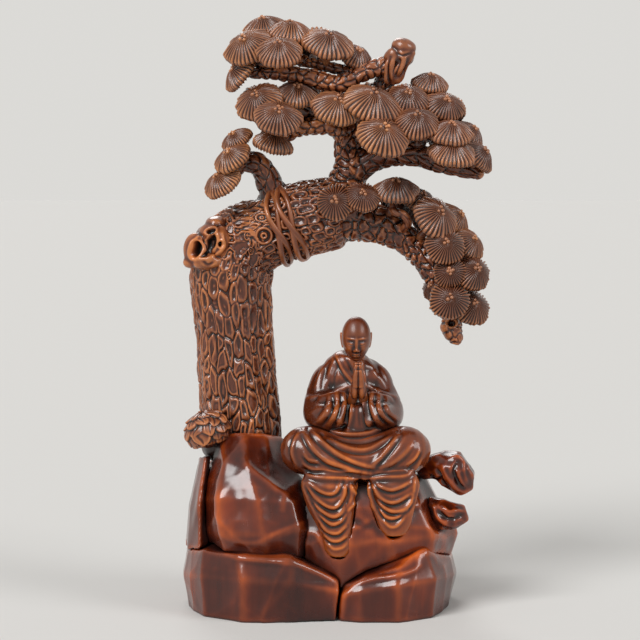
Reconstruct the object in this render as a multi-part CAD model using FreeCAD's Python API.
"""A small okimono carving in boxwood: a robed figure sits in prayer on a rock under an old pine.

The pine leans over from the left. Its trunk stands in a boulder and bends into a bough, and the bough
droops again on the right. Every umbrella of needles is a fluted pad on a stalk. The wood is cut in flat
gouge facets, and each piece is scribed to the pieces that carry it, so that they meet face to face.

Millimetres. +X is to the right in the front view, +Y goes to the back and +Z is up. The origin is on the
underside, below the line that the front view is measured from. Left and right are the viewer's.
"""

import FreeCAD
import Part
import math
import os

Vector = FreeCAD.Vector

# The whole carving, and the eye that the front view is seen from
CARVING_HEIGHT = 220.0
CARVING_DEPTH = 70.0
EYE_DISTANCE = 720.0
EYE_HEIGHT = 154.0

# The tree
TRUNK_RADIUS = 15.3
TRUNK_RIB_DEPTH = 1.3
BOUGH_RADIUS = 13.4
DROOP_RADIUS = 6.4
FORK_RADIUS = 6.6
LOOP_RADIUS = 3.6
LEFT_LIMB_RADIUS = 4.6
CROWN_RADIUS = 3.6
CROWN_TWIG_RADIUS = 2.3
RIGHT_RADIUS = 4.8
BED_RADIUS = 7.2
KNOT_RADIUS = 8.4
KNOT_HOLLOW_RADIUS = 4.8
KNOT_HOLLOW_DEPTH = 2.2
BURL_RADIUS = 5.6
STUB_RADIUS = 3.4
CURLED_TWIG_RADIUS = 1.7
VINE_RADIUS = 1.5
VINE_LIFT = 0.7
VINE_SWAY = 2.0

# One pad of needles
PAD_RADIUS = 8.0
PAD_RISE = 4.2
PAD_RIM = 1.5
FLUTE_DEPTH = 0.7
NECK_RADIUS = 2.6
NECK_DROP = 2.2
STALK_OVERRUN = 3.0

# The tuft that grows at the foot of the trunk
TUFT_RADIUS = 9.6
TUFT_RISE = 6.5
TUFT_RIM = 3.4

# The figure
FIGURE_HEIGHT = 59.0
HEAD_RADIUS = 5.2
CHEST_RADIUS = 12.2
ARM_RADIUS = 6.0
HAND_RADIUS = 2.3
KNEE_RADIUS = 9.0
HEM_RADIUS = 8.8

# The two curled stones to the right of the figure
CURL_RADIUS = 6.6

# How many flats each round form is cut in
TRUNK_FLAT_COUNT = 12
BRANCH_FLAT_COUNT = 8
TWIG_FLAT_COUNT = 6
VINE_FLAT_COUNT = 5
FIGURE_FLAT_COUNT = 12
PAD_FLUTE_COUNT = 10
NECK_FLAT_COUNT = PAD_FLUTE_COUNT // 2
VINE_STATION_COUNT = 9

# Each spine is a list of (across, up, depth, girth). Across and up are read off the front view, as shares
# of the height from the axis and the floor. Depth is a share of the depth, and girth one of the limb's radius.
TRUNK_SHARES = [
    (-0.135, 0.235, 0.10, 1.12),
    (-0.133, 0.300, 0.10, 1.03),
    (-0.140, 0.400, 0.09, 0.97),
    (-0.146, 0.500, 0.08, 0.98),
    (-0.149, 0.560, 0.07, 1.02),
    (-0.140, 0.602, 0.06, 1.00),
    (-0.114, 0.630, 0.05, 0.88),
]
BOUGH_SHARES = [
    (-0.122, 0.614, 0.06, 0.98),
    (-0.087, 0.637, 0.05, 1.00),
    (-0.045, 0.653, 0.04, 1.02),
    (0.000, 0.663, 0.03, 1.03),
    (0.042, 0.670, 0.02, 0.94),
]
DROOP_SHARES = [
    (0.028, 0.664, 0.02, 1.75),
    (0.072, 0.656, 0.00, 1.32),
    (0.115, 0.642, -0.02, 1.05),
    (0.150, 0.620, -0.02, 0.88),
    (0.180, 0.592, -0.03, 0.84),
    (0.202, 0.557, -0.03, 0.88),
    (0.217, 0.518, -0.03, 0.82),
    (0.226, 0.484, -0.04, 0.60),
]
FORK_SHARES = [
    (0.042, 0.695, 0.02, 1.30),
    (0.052, 0.745, 0.00, 1.00),
    (0.050, 0.790, 0.00, 0.86),
    (0.072, 0.835, 0.02, 0.76),
    (0.102, 0.872, 0.02, 0.66),
    (0.118, 0.903, -0.03, 0.56),
]
LOOP_SHARES = [
    (0.047, 0.795, -0.01, 1.15),
    (0.018, 0.814, -0.05, 1.00),
    (-0.025, 0.812, -0.06, 1.00),
    (-0.062, 0.800, -0.05, 0.95),
    (-0.100, 0.792, -0.02, 0.85),
]
LEFT_LIMB_SHARES = [
    (-0.066, 0.672, 0.03, 1.50),
    (-0.083, 0.715, 0.01, 1.10),
    (-0.104, 0.750, -0.01, 0.95),
    (-0.142, 0.752, -0.02, 0.70),
]
RIGHT_SHARES = [
    (0.058, 0.748, 0.01, 1.25),
    (0.110, 0.764, -0.02, 1.05),
    (0.160, 0.766, -0.05, 0.95),
    (0.210, 0.750, -0.06, 0.80),
    (0.250, 0.740, -0.08, 0.66),
    (0.279, 0.731, -0.10, 0.45),
]
CROWN_SHARES = [
    (0.122, 0.912, -0.04, 1.10),
    (0.100, 0.912, -0.06, 1.05),
    (0.066, 0.899, -0.08, 0.92),
    (0.030, 0.884, -0.09, 1.05),
    (-0.012, 0.894, -0.09, 0.98),
    (-0.060, 0.902, -0.08, 0.84),
    (-0.122, 0.903, -0.06, 0.55),
]
CROWN_TWIG_SHARES = [
    (0.066, 0.902, -0.06, 1.00),
    (0.020, 0.912, -0.03, 1.00),
    (-0.040, 0.926, 0.00, 1.05),
    (-0.100, 0.938, 0.02, 0.80),
]
MIDDLE_BED_SHARES = [
    (-0.108, 0.836, 0.00, 0.50),
    (-0.045, 0.846, 0.00, 0.75),
    (0.025, 0.840, 0.02, 0.90),
    (0.090, 0.842, 0.02, 1.00),
    (0.150, 0.843, 0.02, 0.95),
    (0.205, 0.838, 0.00, 0.60),
]
RIGHT_BED_SHARES = [
    (0.157, 0.772, -0.05, 0.40),
    (0.176, 0.803, -0.04, 0.62),
    (0.212, 0.806, -0.02, 0.80),
    (0.248, 0.785, -0.04, 0.45),
]
CROWN_BED_SHARES = [
    (-0.122, 0.926, -0.04, 0.42),
    (-0.085, 0.930, -0.07, 0.60),
    (-0.040, 0.938, -0.04, 0.52),
]
LEFT_BED_SHARES = [
    (-0.150, 0.726, -0.02, 0.36),
    (-0.136, 0.754, -0.01, 0.55),
    (-0.128, 0.784, 0.00, 0.40),
]
CARRIERS_SHARES = [
    BOUGH_SHARES,
    DROOP_SHARES,
    FORK_SHARES,
    LOOP_SHARES,
    LEFT_LIMB_SHARES,
    RIGHT_SHARES,
    CROWN_SHARES,
    CROWN_TWIG_SHARES,
    MIDDLE_BED_SHARES,
    RIGHT_BED_SHARES,
]
KNOT_SHARES = [
    (-0.150, 0.606, 0.00, 1.00),
    (-0.180, 0.611, -0.05, 1.04),
    (-0.209, 0.614, -0.11, 0.90),
]
BURL_SHARES = [
    (0.112, 0.913, -0.05, 0.55),
    (0.126, 0.925, -0.06, 0.86),
    (0.143, 0.941, -0.06, 1.00),
    (0.153, 0.950, -0.06, 0.60),
]
STUB_SHARES = [
    (0.225, 0.492, -0.04, 1.10),
    (0.226, 0.470, -0.06, 1.20),
    (0.234, 0.452, -0.07, 0.80),
    (0.237, 0.443, -0.07, 0.35),
]
CURLED_TWIG_SHARES = [
    (0.137, 0.636, -0.06, 1.15),
    (0.151, 0.651, -0.14, 1.00),
    (0.143, 0.664, -0.17, 0.95),
    (0.127, 0.672, -0.16, 0.95),
    (0.126, 0.690, -0.15, 0.90),
    (0.131, 0.704, -0.16, 0.80),
]
UPPER_CURL_SHARES = [
    (0.172, 0.232, -0.14, 0.60),
    (0.200, 0.236, -0.18, 0.80),
    (0.226, 0.232, -0.20, 1.10),
    (0.243, 0.212, -0.20, 0.95),
    (0.250, 0.194, -0.20, 0.50),
]
LOWER_CURL_SHARES = [
    (0.180, 0.165, -0.16, 0.70),
    (0.205, 0.156, -0.20, 0.85),
    (0.232, 0.151, -0.21, 0.80),
    (0.250, 0.156, -0.20, 0.45),
]

# Each pad is (across, up, depth, size, tilt to the viewer, lean to the right): shares as above, size as a
# share of the pad's radius, and tilt and lean as shares of a right angle. A pad that lies over another
# comes before it.
PAD_SHARES = {
    "pad_crown_2": (-0.048, 0.971, -0.03, 0.98, 0.22, 0.06),
    "pad_crown_3": (-0.120, 0.948, -0.12, 1.05, 0.45, -0.20),
    "pad_crown_4": (-0.067, 0.940, -0.22, 0.98, 0.42, 0.00),
    "pad_crown_5": (0.016, 0.953, -0.12, 1.06, 0.38, 0.10),
    "pad_crown_7": (-0.135, 0.902, -0.08, 0.86, 0.30, -0.55),
    "pad_middle_1": (-0.101, 0.856, -0.18, 1.02, 0.52, -0.18),
    "pad_middle_2": (-0.037, 0.869, -0.10, 0.90, 0.36, 0.05),
    "pad_middle_3": (-0.069, 0.830, -0.30, 0.98, 0.50, 0.05),
    "pad_middle_5": (0.090, 0.853, -0.22, 1.22, 0.42, 0.16),
    "pad_middle_4": (0.030, 0.846, -0.22, 1.04, 0.45, 0.14),
    "pad_middle_6": (0.151, 0.860, -0.14, 0.90, 0.48, 0.05),
    "pad_middle_7": (0.108, 0.798, -0.36, 1.08, 0.50, 0.12),
    "pad_middle_8": (0.167, 0.820, -0.28, 0.92, 0.45, 0.05),
    "pad_right_2": (0.213, 0.848, -0.12, 0.84, 0.50, 0.16),
    "pad_right_3": (0.224, 0.804, -0.26, 0.92, 0.32, 0.05),
    "pad_right_5": (0.225, 0.770, -0.29, 1.00, 0.30, 0.05),
    "pad_right_6": (0.271, 0.764, -0.14, 0.78, 0.34, 0.50),
    "pad_droop_3": (0.131, 0.707, -0.16, 0.95, 0.30, 0.04),
    "pad_droop_5": (0.199, 0.661, -0.18, 1.02, 0.55, 0.30),
    "pad_droop_7": (0.214, 0.613, -0.22, 0.82, 0.76, 0.10),
    "pad_droop_12": (0.222, 0.520, -0.20, 0.84, 0.82, 0.05),
}
PAD_GROUP_SHARES = {
    "pads_left": [
        (-0.148, 0.762, -0.16, 0.84, 0.36, -0.32),
        (-0.140, 0.793, -0.08, 0.68, 0.32, -0.32),
        (-0.165, 0.720, -0.15, 0.86, 0.36, -0.34),
        (-0.077, 0.786, -0.14, 0.84, 0.24, 0.14),
    ],
    "pads_bough": [
        (0.074, 0.696, -0.24, 0.72, 0.60, 0.05),
        (0.028, 0.686, -0.24, 0.78, 0.78, -0.05),
    ],
    "pads_droop_side": [
        (0.172, 0.690, -0.04, 0.74, 0.40, 0.25),
        (0.230, 0.658, -0.02, 0.80, 0.40, 0.50),
        (0.256, 0.617, -0.08, 0.78, 0.50, 0.45),
        (0.262, 0.568, -0.14, 0.82, 0.68, 0.28),
        (0.260, 0.509, -0.10, 0.82, 0.70, 0.25),
    ],
    "pads_droop_front": [
        (0.222, 0.567, -0.20, 0.66, 0.86, 0.00),
        (0.196, 0.541, -0.06, 0.60, 0.70, -0.40),
    ],
    "pads_crown_behind": [
        (-0.092, 0.980, 0.04, 0.92, 0.24, -0.10),
        (0.063, 0.932, -0.04, 0.76, 0.40, 0.25),
        (-0.110, 0.946, 0.20, 0.95, -0.42, -0.15),
        (0.000, 0.952, 0.18, 1.00, -0.42, 0.05),
    ],
    "pads_middle_behind": [
        (-0.095, 0.856, 0.20, 0.98, -0.50, -0.15),
        (-0.030, 0.868, 0.16, 0.90, -0.38, 0.05),
        (0.030, 0.850, 0.26, 1.02, -0.46, 0.10),
        (0.095, 0.856, 0.26, 1.10, -0.46, 0.10),
        (0.155, 0.860, 0.20, 0.92, -0.46, 0.10),
        (0.120, 0.800, 0.34, 1.02, -0.50, 0.10),
    ],
    "pads_right_behind": [
        (0.188, 0.886, 0.02, 0.80, 0.28, 0.12),
        (0.256, 0.802, -0.04, 0.74, 0.30, 0.45),
        (0.216, 0.845, 0.16, 0.86, -0.46, 0.20),
        (0.222, 0.790, 0.20, 0.94, -0.40, 0.10),
    ],
    "pads_droop_behind": [
        (0.140, 0.690, 0.16, 0.90, -0.36, 0.10),
        (0.195, 0.655, 0.18, 0.98, -0.52, 0.25),
        (0.222, 0.605, 0.16, 0.84, -0.70, 0.20),
        (0.240, 0.550, 0.14, 0.84, -0.74, 0.20),
    ],
}
PAD_SHOULDER_SHARE = 0.55
PAD_SHOULDER_RISE_SHARE = 0.78
TUFT_PLACE_SHARES = (-0.188, 0.288, -0.06, 0.25, -0.25)
TUFT_FOOT_SHARES = (-0.150, 0.240, 0.00)

# The rocks, as rings of corners (across, up, depth) from the front left round to the back left
LEFT_SLAB_SHARES = [
    [(-0.222, -0.10), (-0.195, -0.34), (-0.130, -0.47), (-0.045, -0.49), (0.030, -0.46)]
    + [(0.030, 0.42), (-0.050, 0.48), (-0.130, 0.46), (-0.195, 0.34), (-0.222, 0.12)],
    [(-0.233, 0.050, -0.10), (-0.205, 0.045, -0.35), (-0.130, 0.040, -0.49), (-0.045, 0.035, -0.50)]
    + [(0.034, 0.020, -0.47), (0.034, 0.055, 0.43), (-0.050, 0.055, 0.50), (-0.130, 0.055, 0.48)]
    + [(-0.205, 0.055, 0.35), (-0.233, 0.055, 0.12)],
    [(-0.226, 0.092, -0.09), (-0.200, 0.092, -0.31), (-0.140, 0.080, -0.45), (-0.050, 0.073, -0.47)]
    + [(0.032, 0.036, -0.43), (0.032, 0.105, 0.40), (-0.050, 0.110, 0.46), (-0.130, 0.110, 0.44)]
    + [(-0.200, 0.110, 0.32), (-0.226, 0.108, 0.11)],
    [(-0.205, 0.105, -0.06), (-0.180, 0.104, -0.22), (-0.130, 0.092, -0.32), (-0.050, 0.088, -0.34)]
    + [(0.028, 0.050, -0.34), (0.028, 0.112, 0.32), (-0.050, 0.118, 0.36), (-0.130, 0.118, 0.34)]
    + [(-0.180, 0.118, 0.24), (-0.205, 0.114, 0.08)],
]
RIGHT_SLAB_SHARES = [
    [(0.038, -0.44), (0.070, -0.48), (0.135, -0.48), (0.195, -0.38), (0.222, -0.12)]
    + [(0.222, 0.16), (0.190, 0.36), (0.120, 0.45), (0.010, 0.41)],
    [(0.040, 0.012, -0.46), (0.070, 0.020, -0.49), (0.135, 0.030, -0.50), (0.203, 0.040, -0.39)]
    + [(0.234, 0.050, -0.12), (0.234, 0.055, 0.16), (0.200, 0.055, 0.37), (0.120, 0.055, 0.46)]
    + [(0.012, 0.052, 0.42)],
    [(0.046, 0.030, -0.42), (0.075, 0.045, -0.45), (0.138, 0.062, -0.45), (0.182, 0.088, -0.36)]
    + [(0.226, 0.080, -0.11), (0.226, 0.090, 0.14), (0.190, 0.095, 0.34), (0.120, 0.100, 0.42)]
    + [(0.010, 0.100, 0.38)],
    [(0.060, 0.045, -0.32), (0.085, 0.062, -0.34), (0.140, 0.080, -0.34), (0.175, 0.100, -0.28)]
    + [(0.205, 0.092, -0.09), (0.205, 0.096, 0.11), (0.175, 0.102, 0.26), (0.120, 0.108, 0.32)]
    + [(0.006, 0.106, 0.30)],
]
BOULDER_SHARES = [
    [(-0.185, 0.075, -0.16), (-0.160, 0.075, -0.36), (-0.090, 0.070, -0.42), (-0.035, 0.065, -0.38)]
    + [(0.015, 0.080, -0.20), (0.015, 0.085, 0.34), (-0.100, 0.085, 0.40), (-0.180, 0.085, 0.26)],
    [(-0.196, 0.120, -0.16), (-0.168, 0.118, -0.40), (-0.095, 0.116, -0.46), (-0.035, 0.125, -0.42)]
    + [(0.015, 0.140, -0.22), (0.015, 0.130, 0.36), (-0.100, 0.130, 0.44), (-0.192, 0.130, 0.28)],
    [(-0.198, 0.180, -0.13), (-0.170, 0.180, -0.36), (-0.105, 0.178, -0.43), (-0.045, 0.175, -0.39)]
    + [(0.005, 0.180, -0.20), (0.005, 0.185, 0.34), (-0.100, 0.190, 0.41), (-0.194, 0.185, 0.27)],
    [(-0.186, 0.240, -0.08), (-0.160, 0.242, -0.26), (-0.122, 0.236, -0.33), (-0.082, 0.205, -0.36)]
    + [(-0.030, 0.220, -0.18), (-0.030, 0.225, 0.30), (-0.105, 0.235, 0.37), (-0.182, 0.240, 0.25)],
    [(-0.192, 0.288, 0.02), (-0.170, 0.292, -0.10), (-0.130, 0.290, -0.15), (-0.090, 0.286, -0.11)]
    + [(-0.066, 0.282, 0.00), (-0.066, 0.285, 0.20), (-0.120, 0.290, 0.33), (-0.180, 0.290, 0.26)],
]
REAR_ROCK_SHARES = [
    [(-0.226, 0.085, -0.10), (-0.205, 0.082, -0.26), (-0.175, 0.085, -0.20)]
    + [(-0.170, 0.090, 0.20), (-0.205, 0.090, 0.26), (-0.228, 0.090, 0.10)],
    [(-0.221, 0.165, -0.06), (-0.205, 0.165, -0.20), (-0.180, 0.170, -0.14)]
    + [(-0.178, 0.170, 0.18), (-0.205, 0.170, 0.22), (-0.222, 0.170, 0.08)],
    [(-0.203, 0.250, -0.03), (-0.194, 0.254, -0.11), (-0.178, 0.256, -0.06)]
    + [(-0.176, 0.258, 0.12), (-0.194, 0.258, 0.15), (-0.204, 0.256, 0.06)],
]
SEAT_ROCK_SHARES = [
    [(-0.045, 0.060, -0.34), (0.035, 0.022, -0.40), (0.120, 0.040, -0.38), (0.190, 0.050, -0.30)]
    + [(0.215, 0.055, -0.04), (0.210, 0.055, 0.30), (0.100, 0.060, 0.38), (-0.030, 0.060, 0.38)],
    [(-0.035, 0.122, -0.36), (0.035, 0.105, -0.42), (0.115, 0.105, -0.42), (0.196, 0.115, -0.34)]
    + [(0.233, 0.122, -0.06), (0.228, 0.120, 0.30), (0.100, 0.125, 0.41), (-0.025, 0.125, 0.40)],
    [(-0.025, 0.175, -0.34), (0.040, 0.165, -0.39), (0.105, 0.165, -0.39), (0.172, 0.170, -0.33)]
    + [(0.208, 0.165, -0.10), (0.205, 0.170, 0.28), (0.100, 0.175, 0.37), (-0.015, 0.180, 0.36)],
    [(-0.015, 0.222, -0.26), (0.040, 0.220, -0.30), (0.100, 0.220, -0.30), (0.160, 0.222, -0.24)]
    + [(0.182, 0.226, -0.08), (0.178, 0.230, 0.20), (0.090, 0.232, 0.28), (-0.005, 0.232, 0.26)],
]

# The vines, as (start along the bough, end along it, start round it, end round it), where round is a share
# of a half turn from the front, downwards
VINE_SHARES = [(0.43, 0.31, -0.66, 0.70), (0.46, 0.56, -0.60, 0.70)]

# The figure's forms, as (across, back, up, girth, depth of the section): shares of the figure's height from
# the middle of its seat, of the form's radius, and of that girth
SEAT_SHARES = (0.062, 0.225, -0.08)
TORSO_SHARES = [
    (0.000, 0.02, -0.03, 0.95, 0.76),
    (0.000, 0.02, 0.18, 1.00, 0.76),
    (-0.012, 0.02, 0.38, 1.05, 0.74),
    (-0.018, 0.02, 0.54, 1.06, 0.70),
    (-0.018, 0.01, 0.65, 0.98, 0.68),
    (-0.014, -0.01, 0.71, 0.72, 0.72),
    (-0.002, -0.03, 0.76, 0.36, 1.00),
]
HEAD_SHARES = [
    (0.003, -0.085, 0.735, 0.30, 1.00),
    (0.003, -0.078, 0.765, 0.68, 1.05),
    (0.002, -0.065, 0.810, 0.90, 1.12),
    (0.000, -0.055, 0.865, 1.00, 1.15),
    (0.000, -0.045, 0.920, 0.96, 1.14),
    (0.000, -0.038, 0.965, 0.74, 1.10),
    (0.000, -0.034, 0.992, 0.36, 1.00),
]
LEFT_SLEEVE_SHARES = [
    (-0.100, 0.02, 0.665, 0.55, 1.00),
    (-0.170, 0.02, 0.600, 0.92, 1.05),
    (-0.195, 0.00, 0.500, 1.10, 1.12),
    (-0.213, -0.06, 0.400, 1.15, 1.08),
    (-0.175, -0.15, 0.365, 1.14, 0.85),
    (-0.105, -0.21, 0.395, 1.22, 0.62),
    (-0.040, -0.25, 0.405, 1.24, 0.45),
]
RIGHT_SLEEVE_SHARES = [
    (0.075, 0.02, 0.665, 0.55, 1.00),
    (0.125, 0.02, 0.600, 0.90, 1.05),
    (0.150, 0.00, 0.500, 1.05, 1.12),
    (0.182, -0.06, 0.400, 1.15, 1.08),
    (0.160, -0.15, 0.360, 1.16, 0.85),
    (0.100, -0.21, 0.390, 1.22, 0.62),
    (0.038, -0.25, 0.402, 1.24, 0.45),
]
HAND_SHARES = [
    (0.000, -0.250, 0.470, 1.00, 1.20),
    (0.000, -0.285, 0.530, 1.05, 1.30),
    (0.000, -0.285, 0.620, 0.90, 1.25),
    (0.000, -0.265, 0.700, 0.60, 1.20),
    (0.000, -0.250, 0.735, 0.22, 1.00),
]
LAP_SHARES = [
    (-0.410, -0.17, 0.140, 0.36, 1.00),
    (-0.375, -0.20, 0.155, 0.80, 1.05),
    (-0.295, -0.23, 0.168, 1.02, 1.08),
    (-0.160, -0.23, 0.130, 0.96, 1.15),
    (0.000, -0.23, 0.110, 0.92, 1.20),
    (0.150, -0.23, 0.130, 0.96, 1.15),
    (0.285, -0.23, 0.168, 1.02, 1.08),
    (0.360, -0.20, 0.155, 0.80, 1.05),
    (0.395, -0.17, 0.140, 0.36, 1.00),
]
LEFT_HEM_SHARES = [
    (-0.165, -0.340, 0.030, 1.25, 0.32),
    (-0.160, -0.360, -0.080, 1.15, 0.32),
    (-0.140, -0.370, -0.220, 0.86, 0.40),
    (-0.118, -0.375, -0.350, 0.56, 0.55),
    (-0.112, -0.375, -0.430, 0.44, 0.62),
    (-0.116, -0.370, -0.470, 0.24, 0.80),
]
RIGHT_HEM_SHARES = [
    (0.228, -0.340, 0.030, 1.12, 0.34),
    (0.228, -0.360, -0.080, 1.02, 0.34),
    (0.230, -0.370, -0.190, 0.84, 0.42),
    (0.234, -0.370, -0.280, 0.60, 0.55),
    (0.236, -0.365, -0.350, 0.28, 0.80),
]


def seen(across_share, up_share, depth_share):
    """The point that shows at this place of the front view, at this depth behind the axis."""
    depth = depth_share * CARVING_DEPTH
    nearness = 1 + depth / EYE_DISTANCE
    across = across_share * CARVING_HEIGHT * nearness
    up = EYE_HEIGHT + (up_share * CARVING_HEIGHT - EYE_HEIGHT) * nearness
    return Vector(across, depth, up)


def standing(across_share, depth_share):
    """The point of the underside below this place of the front view."""
    point = seen(across_share, 0, depth_share)
    return Vector(point.x, point.y, 0)


def on_figure(across_share, back_share, up_share):
    """The point at this place of the figure, from the middle of its seat."""
    return seen(*SEAT_SHARES) + Vector(across_share, back_share, up_share) * FIGURE_HEIGHT


def faceted_solid(facets):
    """The solid that flat facets close, each given by its corners in order."""
    faces = [Part.Face(Part.makePolygon(corners + corners[:1])) for corners in facets]
    solid = Part.Solid(Part.Shell(faces))
    if solid.Volume < 0:
        solid.reverse()
    return solid


def skin(rings, flat_foot=True, flat_top=True):
    """A solid of flat facets through rings of corners. An end that isn't flat is closed by a fan."""
    facets = []
    for lower, upper in zip(rings, rings[1:]):
        for here in range(len(lower)):
            after = (here + 1) % len(lower)
            facets.append([lower[here], lower[after], upper[after]])
            facets.append([lower[here], upper[after], upper[here]])
    for ring, flat in ((rings[0], flat_foot), (rings[-1], flat_top)):
        if flat:
            facets.append(list(ring))
        else:
            facets += fan(ring, sum(ring, Vector()) / len(ring))
    return faceted_solid(facets)


def fan(ring, tip):
    """Facets from each side of a ring to one point."""
    return [[ring[here], ring[(here + 1) % len(ring)], tip] for here in range(len(ring))]


def strip(inner, outer):
    """Facets from a ring of few corners to a ring of a whole number of times as many."""
    facets = []
    times = len(outer) // len(inner)
    for here in range(len(outer)):
        after = (here + 1) % len(outer)
        corner = inner[(here + times // 2) // times % len(inner)]
        next_corner = inner[(after + times // 2) // times % len(inner)]
        facets.append([corner, outer[here], outer[after]])
        if next_corner != corner:
            facets.append([corner, outer[after], next_corner])
    return facets


def sides(top, low):
    """Upright facets between two like rings."""
    return [[top[here - 1], top[here], low[here], low[here - 1]] for here in range(len(top))]


def square_to(direction):
    """Two directions square to this one and to each other, the first as near to the right as can be."""
    aside = Vector(1, 0, 0) if abs(direction.x) < abs(direction.y) + abs(direction.z) else Vector(0, -1, 0)
    aside = (aside - direction * aside.dot(direction)).normalize()
    return aside, direction.cross(aside)


def cross_frames(spine):
    """The two directions of the section at each point of a spine, turned as little as can be on the way."""
    frames = []
    side = Vector(0, -1, 0)
    for index in range(len(spine)):
        before = spine[max(index - 1, 0)]
        after = spine[min(index + 1, len(spine) - 1)]
        along = (after - before).normalize()
        side = (side - along * side.dot(along)).normalize()
        frames.append((side, along.cross(side)))
    return frames


def limb(spine, radii, flats, depth_shares=None, rib_depth=0):
    """A limb with flats round it, through the spine's points, with a radius at each. With a rib depth, every
    second edge lies that much deeper, so that ribs run along the limb."""
    rings = []
    depth_shares = depth_shares or [1] * len(spine)
    for centre, radius, deep, (side, other) in zip(spine, radii, depth_shares, cross_frames(spine)):
        ring = []
        for flat in range(flats):
            turn = math.tau * (flat + 0.5) / flats
            out = side * deep * math.cos(turn) + other * math.sin(turn)
            ring.append(centre + out * (radius - rib_depth * (flat % 2)))
        rings.append(ring)
    return skin(rings)


def branch(table_shares, radius, flats=BRANCH_FLAT_COUNT, rib_depth=0):
    """A limb of the tree, from its table."""
    spine = [seen(across, up, depth) for across, up, depth, _ in table_shares]
    return limb(spine, [radius * girth for *_, girth in table_shares], flats, rib_depth=rib_depth)


def body_form(table_shares, radius):
    """A rounded form of the figure, from its table."""
    spine = [on_figure(*row[:3]) for row in table_shares]
    radii = [radius * row[3] for row in table_shares]
    return limb(spine, radii, FIGURE_FLAT_COUNT, [row[4] for row in table_shares])


def rock(rings_shares):
    """A rock of flat facets through its rings of corners."""
    rings = [[seen(*corner) for corner in ring] for ring in rings_shares]
    return skin(rings, flat_foot=False, flat_top=False)


def slab(rings_shares):
    """A rock that stands on the floor: its first ring is the flat foot."""
    foot = [standing(*corner) for corner in rings_shares[0]]
    rings = [[seen(*corner) for corner in ring] for ring in rings_shares[1:]]
    return skin([foot] + rings, flat_foot=True, flat_top=False)


def facing(tilt_share, lean_share):
    """The direction a pad looks in: up, tilted to the viewer and leaning to the right."""
    tilt = tilt_share * math.pi / 2
    lean = lean_share * math.pi / 2
    return Vector(math.sin(lean), -math.cos(lean) * math.sin(tilt), math.cos(lean) * math.cos(tilt))


def nearest_on(spine, point):
    """The point of a spine that lies nearest to a point."""
    best = None
    for start, end in zip(spine, spine[1:]):
        run = end - start
        share = max(0, min(1, (point - start).dot(run) / run.dot(run)))
        found = start + run * share
        if best is None or (found - point).Length < (best - point).Length:
            best = found
    return best


def umbrella(centre, direction, radius, rise, rim, root):
    """A dome of gouged flutes over a fluted rim. Below, it narrows to a neck and a stalk that ends at root."""
    aside, away = square_to(direction)

    def corner(out, turn, lift):
        return centre + (aside * math.cos(turn) + away * math.sin(turn)) * out + direction * lift

    def ring(count, outs, lift):
        return [corner(outs[n % len(outs)], math.tau * n / count, lift) for n in range(count)]

    ridge_and_valley = (radius, radius - FLUTE_DEPTH)
    shoulder = ring(PAD_FLUTE_COUNT, [radius * PAD_SHOULDER_SHARE], rise * PAD_SHOULDER_RISE_SHARE)
    top = ring(2 * PAD_FLUTE_COUNT, ridge_and_valley, 0)
    low = ring(2 * PAD_FLUTE_COUNT, ridge_and_valley, -rim)
    neck = ring(NECK_FLAT_COUNT, [NECK_RADIUS], -rim - NECK_DROP)
    overrun = (root - centre).normalize() * STALK_OVERRUN
    facets = fan(shoulder, centre + direction * rise) + fan(neck, root + overrun)
    facets += strip(shoulder, top) + strip(neck, low) + sides(top, low)
    return faceted_solid(facets)


def pad(row_shares):
    """One pad of needles, with its stalk in the nearest spine on its underside."""
    across, up, depth, size, tilt, lean = row_shares
    centre = seen(across, up, depth)
    direction = facing(tilt, lean)
    spines = [[seen(*row[:3]) for row in table] for table in CARRIERS_SHARES]
    roots = [nearest_on(spine, centre) for spine in spines]
    below = [root for root in roots if (root - centre).dot(direction) < 0]
    root = min(below, key=lambda found: (found - centre).Length)
    return umbrella(centre, direction, PAD_RADIUS * size, PAD_RISE * size, PAD_RIM, root)


def tuft():
    """The leafy tuft at the foot of the trunk, on its stem."""
    across, up, depth, tilt, lean = TUFT_PLACE_SHARES
    root = seen(*TUFT_FOOT_SHARES)
    return umbrella(seen(across, up, depth), facing(tilt, lean), TUFT_RADIUS, TUFT_RISE, TUFT_RIM, root)


def hollow_knot():
    """The open knot on the trunk's shoulder: a stump with a round hollow in its end."""
    stump = branch(KNOT_SHARES, KNOT_RADIUS, BRANCH_FLAT_COUNT)
    end = seen(*KNOT_SHARES[-1][:3])
    inward = (seen(*KNOT_SHARES[0][:3]) - end).normalize()
    floor_girth = KNOT_SHARES[-1][3]
    hollow = limb(
        [end - inward * KNOT_HOLLOW_DEPTH, end, end + inward * KNOT_HOLLOW_DEPTH],
        [KNOT_HOLLOW_RADIUS, KNOT_HOLLOW_RADIUS, KNOT_HOLLOW_RADIUS * floor_girth / 2],
        BRANCH_FLAT_COUNT,
    )
    return stump.cut(hollow)


def vine_strands():
    """Two pairs of vine strands, wound round the front of the bough and crossing as they go down."""
    spine = [seen(*row[:3]) for row in BOUGH_SHARES]
    frames = cross_frames(spine)
    strands = []
    for start, end, first_turn, last_turn in VINE_SHARES:
        for sway in (-VINE_SWAY, VINE_SWAY):
            path = []
            for station in range(VINE_STATION_COUNT):
                gone = station / (VINE_STATION_COUNT - 1)
                place = (start + (end - start) * gone) * (len(spine) - 1)
                turn = (first_turn + (last_turn - first_turn) * gone) * math.pi
                path.append(on_bough(spine, frames, place, turn, sway * math.cos(math.tau * gone)))
            strands.append(limb(path, [VINE_RADIUS] * len(path), VINE_FLAT_COUNT))
    return strands


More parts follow.
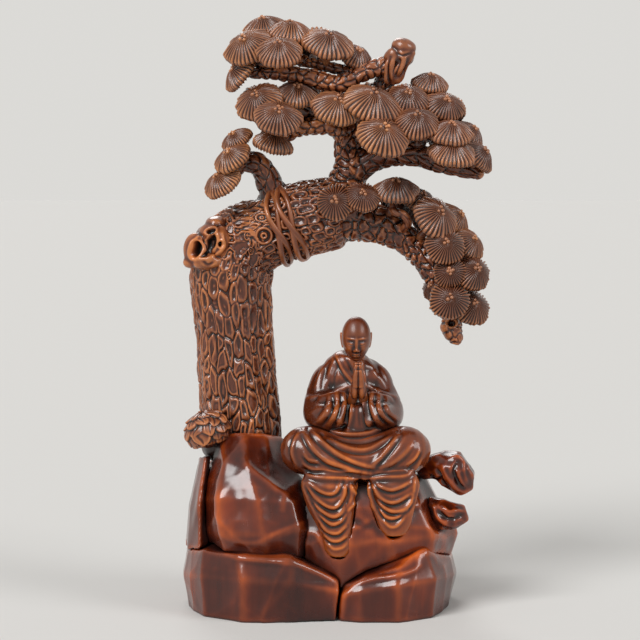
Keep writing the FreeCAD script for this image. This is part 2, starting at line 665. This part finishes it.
def on_bough(spine, frames, place, turn, sway):
    """The point on the bough's skin at this place along its spine, turned down from the front."""
    before = min(int(place), len(spine) - 2)
    gone = place - before
    centre = spine[before] * (1 - gone) + spine[before + 1] * gone
    girth = BOUGH_SHARES[before][3] * (1 - gone) + BOUGH_SHARES[before + 1][3] * gone
    side, other = frames[before]
    along = (spine[before + 1] - spine[before]).normalize()
    out = side * math.cos(turn) + other * math.sin(turn)
    return centre + out * (BOUGH_RADIUS * girth + VINE_LIFT) + along * sway


def seat(carving, name, *solids):
    """Scribes each solid to all that is already in the carving, and adds what is left as one piece."""
    kept = []
    for solid in solids:
        placed = [piece for piece in carving.values() for piece in piece.Solids] + kept
        near = [other for other in placed if solid.BoundBox.intersect(other.BoundBox)]
        if near:
            solid = max(solid.cut(near).Solids, key=lambda part: part.Volume)
        kept.append(solid)
    carving[name] = Part.makeCompound(kept) if len(kept) > 1 else kept[0]


def carve():
    """The whole carving as a table of named pieces. A piece that is let into another comes before it."""
    carving = {}
    seat(carving, "base_slab_left", slab(LEFT_SLAB_SHARES))
    seat(carving, "base_slab_right", slab(RIGHT_SLAB_SHARES))
    seat(carving, "trunk", branch(TRUNK_SHARES, TRUNK_RADIUS, TRUNK_FLAT_COUNT, TRUNK_RIB_DEPTH))
    seat(carving, "figure_torso", body_form(TORSO_SHARES, CHEST_RADIUS))
    seat(carving, "figure_head", body_form(HEAD_SHARES, HEAD_RADIUS))
    seat(carving, "figure_lap", body_form(LAP_SHARES, KNEE_RADIUS))
    seat(carving, "figure_hands", body_form(HAND_SHARES, HAND_RADIUS))
    seat(carving, "figure_sleeve_left", body_form(LEFT_SLEEVE_SHARES, ARM_RADIUS))
    seat(carving, "figure_sleeve_right", body_form(RIGHT_SLEEVE_SHARES, ARM_RADIUS))
    seat(carving, "robe_hem_left", body_form(LEFT_HEM_SHARES, HEM_RADIUS))
    seat(carving, "robe_hem_right", body_form(RIGHT_HEM_SHARES, HEM_RADIUS))
    seat(carving, "boulder", rock(BOULDER_SHARES))
    seat(carving, "rear_rock", rock(REAR_ROCK_SHARES))
    seat(carving, "seat_rock", rock(SEAT_ROCK_SHARES))
    seat(carving, "curled_stone_upper", branch(UPPER_CURL_SHARES, CURL_RADIUS))
    seat(carving, "curled_stone_lower", branch(LOWER_CURL_SHARES, CURL_RADIUS))
    seat(carving, "leaf_tuft", tuft())
    seat(carving, "bough", branch(BOUGH_SHARES, BOUGH_RADIUS, TRUNK_FLAT_COUNT))
    seat(carving, "trunk_knot", hollow_knot())
    seat(carving, "drooping_branch", branch(DROOP_SHARES, DROOP_RADIUS))
    seat(carving, "fork_branch", branch(FORK_SHARES, FORK_RADIUS))
    seat(carving, "left_limb", branch(LEFT_LIMB_SHARES, LEFT_LIMB_RADIUS))
    seat(carving, "loop_branch", branch(LOOP_SHARES, LOOP_RADIUS))
    seat(carving, "right_branch", branch(RIGHT_SHARES, RIGHT_RADIUS))
    seat(carving, "crown_branch", branch(CROWN_SHARES, CROWN_RADIUS))
    seat(carving, "crown_twig", branch(CROWN_TWIG_SHARES, CROWN_TWIG_RADIUS, TWIG_FLAT_COUNT))
    seat(carving, "crown_burl", branch(BURL_SHARES, BURL_RADIUS))
    seat(carving, "branch_stub", branch(STUB_SHARES, STUB_RADIUS, TWIG_FLAT_COUNT))
    seat(carving, "curled_twig", branch(CURLED_TWIG_SHARES, CURLED_TWIG_RADIUS, TWIG_FLAT_COUNT))
    beds_shares = [MIDDLE_BED_SHARES, RIGHT_BED_SHARES, CROWN_BED_SHARES, LEFT_BED_SHARES]
    seat(carving, "needle_beds", *[branch(bed_shares, BED_RADIUS) for bed_shares in beds_shares])
    seat(carving, "vines", *vine_strands())
    for name, row_shares in PAD_SHARES.items():
        seat(carving, name, pad(row_shares))
    for name, rows_shares in PAD_GROUP_SHARES.items():
        seat(carving, name, *[pad(row_shares) for row_shares in rows_shares])
    return carving


def main():
    os.makedirs("parts", exist_ok=True)
    for name, piece in carve().items():
        piece.exportStep(os.path.join("parts", name + ".step"))


main()
